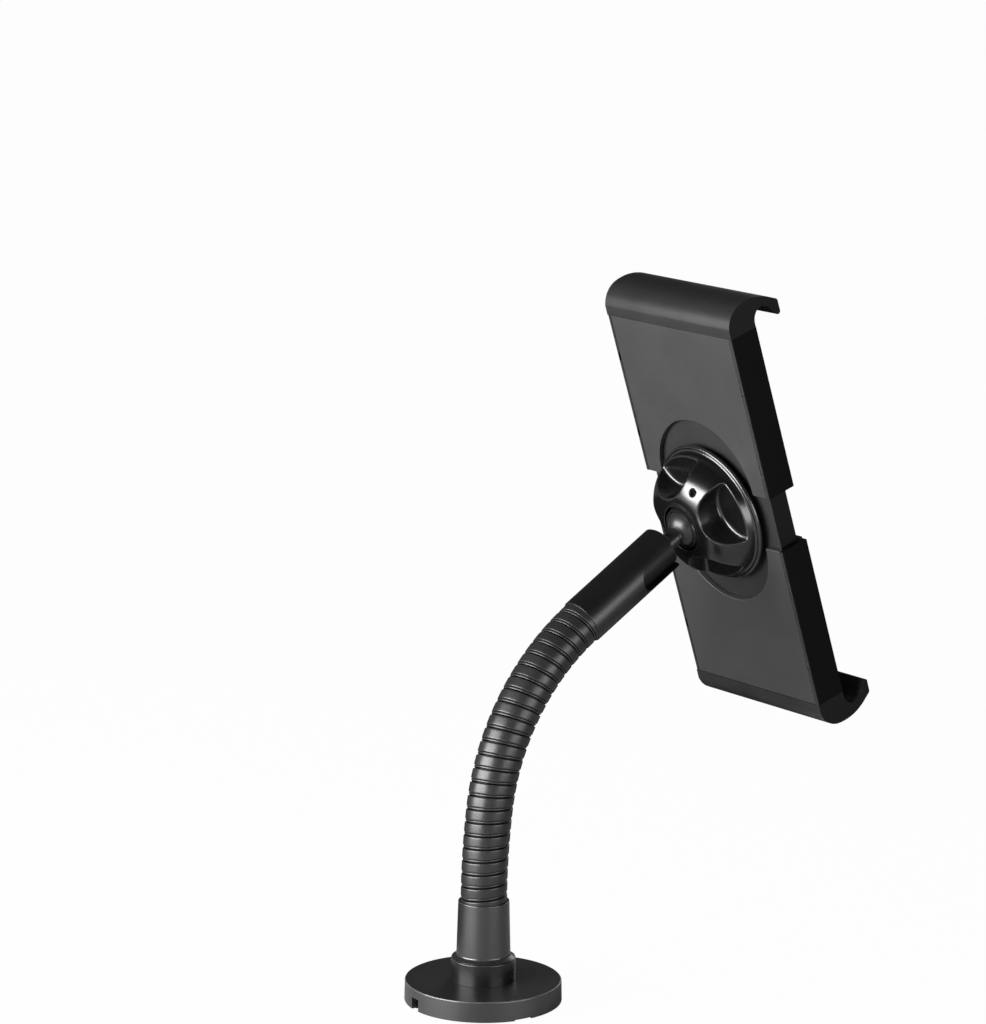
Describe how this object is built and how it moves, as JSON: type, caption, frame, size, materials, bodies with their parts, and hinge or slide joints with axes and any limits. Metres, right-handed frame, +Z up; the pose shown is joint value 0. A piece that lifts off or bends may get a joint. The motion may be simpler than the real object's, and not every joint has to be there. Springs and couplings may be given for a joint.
{
  "type": "tablet kiosk stand",
  "caption": "Screw-down stand with a round base, a flexible ribbed neck and a clamping ball joint that holds a sliding two-jaw tablet holder.",
  "frame": {"origin": "centre of the circle of mounting holes, in the flat underside of the base", "axes": "+Z up from the base along the neck's lower end, -Y towards the person in front of the tablet, +X to the right seen from behind the holder"},
  "size_m": [0.081, 0.2092, 0.2924],
  "materials": {
    "satin_black_metal": "satin black powder coat",
    "neck_black": "matt black over a wound flexible tube",
    "plated_steel": "zinc plated",
    "black_steel": "black oxide",
    "ball_black": "polished black nickel",
    "nylon_natural": "moulded nylon",
    "brass_gear": "cut brass",
    "core_black": "moulded black plastic",
    "knob_black": "satin gloss moulded black",
    "shell_black": "fine matt moulded black",
    "cover_charcoal": "fine spark-eroded charcoal",
    "rubber_black": "matt rubber"
  },
  "bodies": {
    "stand": {"base_cover": "satin_black_metal", "base_plate": "plated_steel", "base_pad": "rubber_black", "foot_nut": "plated_steel", "foot_washer": "plated_steel", "hub_ring": "satin_black_metal", "neck_foot": "plated_steel", "neck_collar": "satin_black_metal", "collar_set_screw": "black_steel", "gooseneck_link_01": "neck_black"},
    "neck_02": {"gooseneck_link_02": "neck_black"},
    "neck_03": {"gooseneck_link_03": "neck_black"},
    "neck_04": {"gooseneck_link_04": "neck_black"},
    "neck_05": {"gooseneck_link_05": "neck_black"},
    "neck_06": {"gooseneck_link_06": "neck_black"},
    "neck_07": {"gooseneck_link_07": "neck_black"},
    "neck_08": {"gooseneck_link_08": "neck_black"},
    "neck_09": {"gooseneck_link_09": "neck_black"},
    "neck_10": {"gooseneck_link_10": "neck_black"},
    "neck_11": {"gooseneck_link_11": "neck_black"},
    "sleeve": {"gooseneck_link_12": "neck_black", "neck_sleeve": "satin_black_metal", "neck_head": "black_steel"},
    "ball_stud": {"ball_stud": "ball_black"},
    "ball_seat": {"ball_seat": "nylon_natural"},
    "core": {"core_frame": "core_black", "core_front_plate": "core_black", "core_screws": "black_steel", "pinion_pin": "plated_steel", "ball_collet": "core_black", "collet_screws": "black_steel"},
    "pinion": {"sync_pinion": "brass_gear"},
    "knob": {"clamp_knob": "knob_black", "knob_lock_screw": "black_steel"},
    "lower_jaw": {"lower_jaw_shell": "shell_black", "lower_jaw_cover": "cover_charcoal", "lower_jaw_end_cap": "shell_black", "lower_jaw_hook_pad": "rubber_black", "lower_jaw_floor_pad": "rubber_black", "lower_jaw_rack": "nylon_natural", "lower_jaw_screws": "black_steel"},
    "upper_jaw": {"upper_jaw_shell": "shell_black", "upper_jaw_cover": "cover_charcoal", "upper_jaw_end_cap": "shell_black", "upper_jaw_hook_pad": "rubber_black", "upper_jaw_floor_pad": "rubber_black", "upper_jaw_rack": "nylon_natural", "upper_jaw_screws": "black_steel"}
  },
  "joints": [
    {"name": "neck_bend_01", "type": "hinge", "parent": "stand", "child": "neck_02", "pos_m": [0, -0.00019, 0.05384], "axis": [1, 0, 0], "range_deg": [-10, 6]},
    {"name": "neck_sway_02", "type": "hinge", "parent": "neck_02", "child": "neck_03", "pos_m": [0, -0.00078, 0.06458], "axis": [0, 0.9974, 0.0723], "range_deg": [-10, 10]},
    {"name": "neck_bend_03", "type": "hinge", "parent": "neck_03", "child": "neck_04", "pos_m": [0, -0.00175, 0.07528], "axis": [1, 0, 0], "range_deg": [-10, 6]},
    {"name": "neck_sway_04", "type": "hinge", "parent": "neck_04", "child": "neck_05", "pos_m": [0, -0.00315, 0.08593], "axis": [0, 0.9856, 0.169], "range_deg": [-10, 10]},
    {"name": "neck_bend_05", "type": "hinge", "parent": "neck_05", "child": "neck_06", "pos_m": [0, -0.00553, 0.09641], "axis": [1, 0, 0], "range_deg": [-10, 6]},
    {"name": "neck_sway_06", "type": "hinge", "parent": "neck_06", "child": "neck_07", "pos_m": [0, -0.00901, 0.10657], "axis": [0, 0.9274, 0.3742], "range_deg": [-10, 10]},
    {"name": "neck_bend_07", "type": "hinge", "parent": "neck_07", "child": "neck_08", "pos_m": [0, -0.01356, 0.11631], "axis": [1, 0, 0], "range_deg": [-10, 6]},
    {"name": "neck_sway_08", "type": "hinge", "parent": "neck_08", "child": "neck_09", "pos_m": [0, -0.01912, 0.1255], "axis": [0, 0.8269, 0.5623], "range_deg": [-10, 10]},
    {"name": "neck_bend_09", "type": "hinge", "parent": "neck_09", "child": "neck_10", "pos_m": [0, -0.02562, 0.13405], "axis": [1, 0, 0], "range_deg": [-10, 6]},
    {"name": "neck_sway_10", "type": "hinge", "parent": "neck_10", "child": "neck_11", "pos_m": [0, -0.033, 0.14185], "axis": [0, 0.6889, 0.7249], "range_deg": [-10, 10]},
    {"name": "neck_bend_11", "type": "hinge", "parent": "neck_11", "child": "sleeve", "pos_m": [0, -0.04117, 0.14883], "axis": [1, 0, 0], "range_deg": [-10, 6]},
    {"name": "ball_swivel", "type": "hinge", "parent": "sleeve", "child": "ball_stud", "pos_m": [0, -0.10695, 0.18949], "axis": [0, -0.8545, 0.5195], "continuous": true},
    {"name": "ball_tilt", "type": "hinge", "parent": "ball_stud", "child": "ball_seat", "pos_m": [0, -0.10695, 0.18949], "axis": [1, 0, 0], "range_deg": [-43, 16.5]},
    {"name": "holder_turn", "type": "hinge", "parent": "ball_seat", "child": "core", "pos_m": [0, -0.10695, 0.18949], "axis": [0, 0.9502, -0.3117], "continuous": true},
    {"name": "knob_turn", "type": "hinge", "parent": "core", "child": "knob", "pos_m": [0, -0.10695, 0.18949], "axis": [0, 0.9502, -0.3117], "range_deg": [0, 360]},
    {"name": "lower_jaw_slide", "type": "slide", "parent": "core", "child": "lower_jaw", "axis": [0, -0.3117, -0.9502], "range_m": [-0.0122, 0.022]},
    {"name": "upper_jaw_slide", "type": "slide", "parent": "core", "child": "upper_jaw", "axis": [0, 0.3117, 0.9502], "range_m": [-0.0122, 0.022]},
    {"name": "pinion_turn", "type": "hinge", "parent": "core", "child": "pinion", "pos_m": [0, -0.13023, 0.19713], "axis": [0, 0.9502, -0.3117], "range_deg": [-90, 160]}
  ],
  "couplings": [
    {"joint": "upper_jaw_slide", "follows": "lower_jaw_slide", "ratio": 1},
    {"joint": "pinion_turn", "follows": "lower_jaw_slide", "rad_per_m": 125}
  ]
}
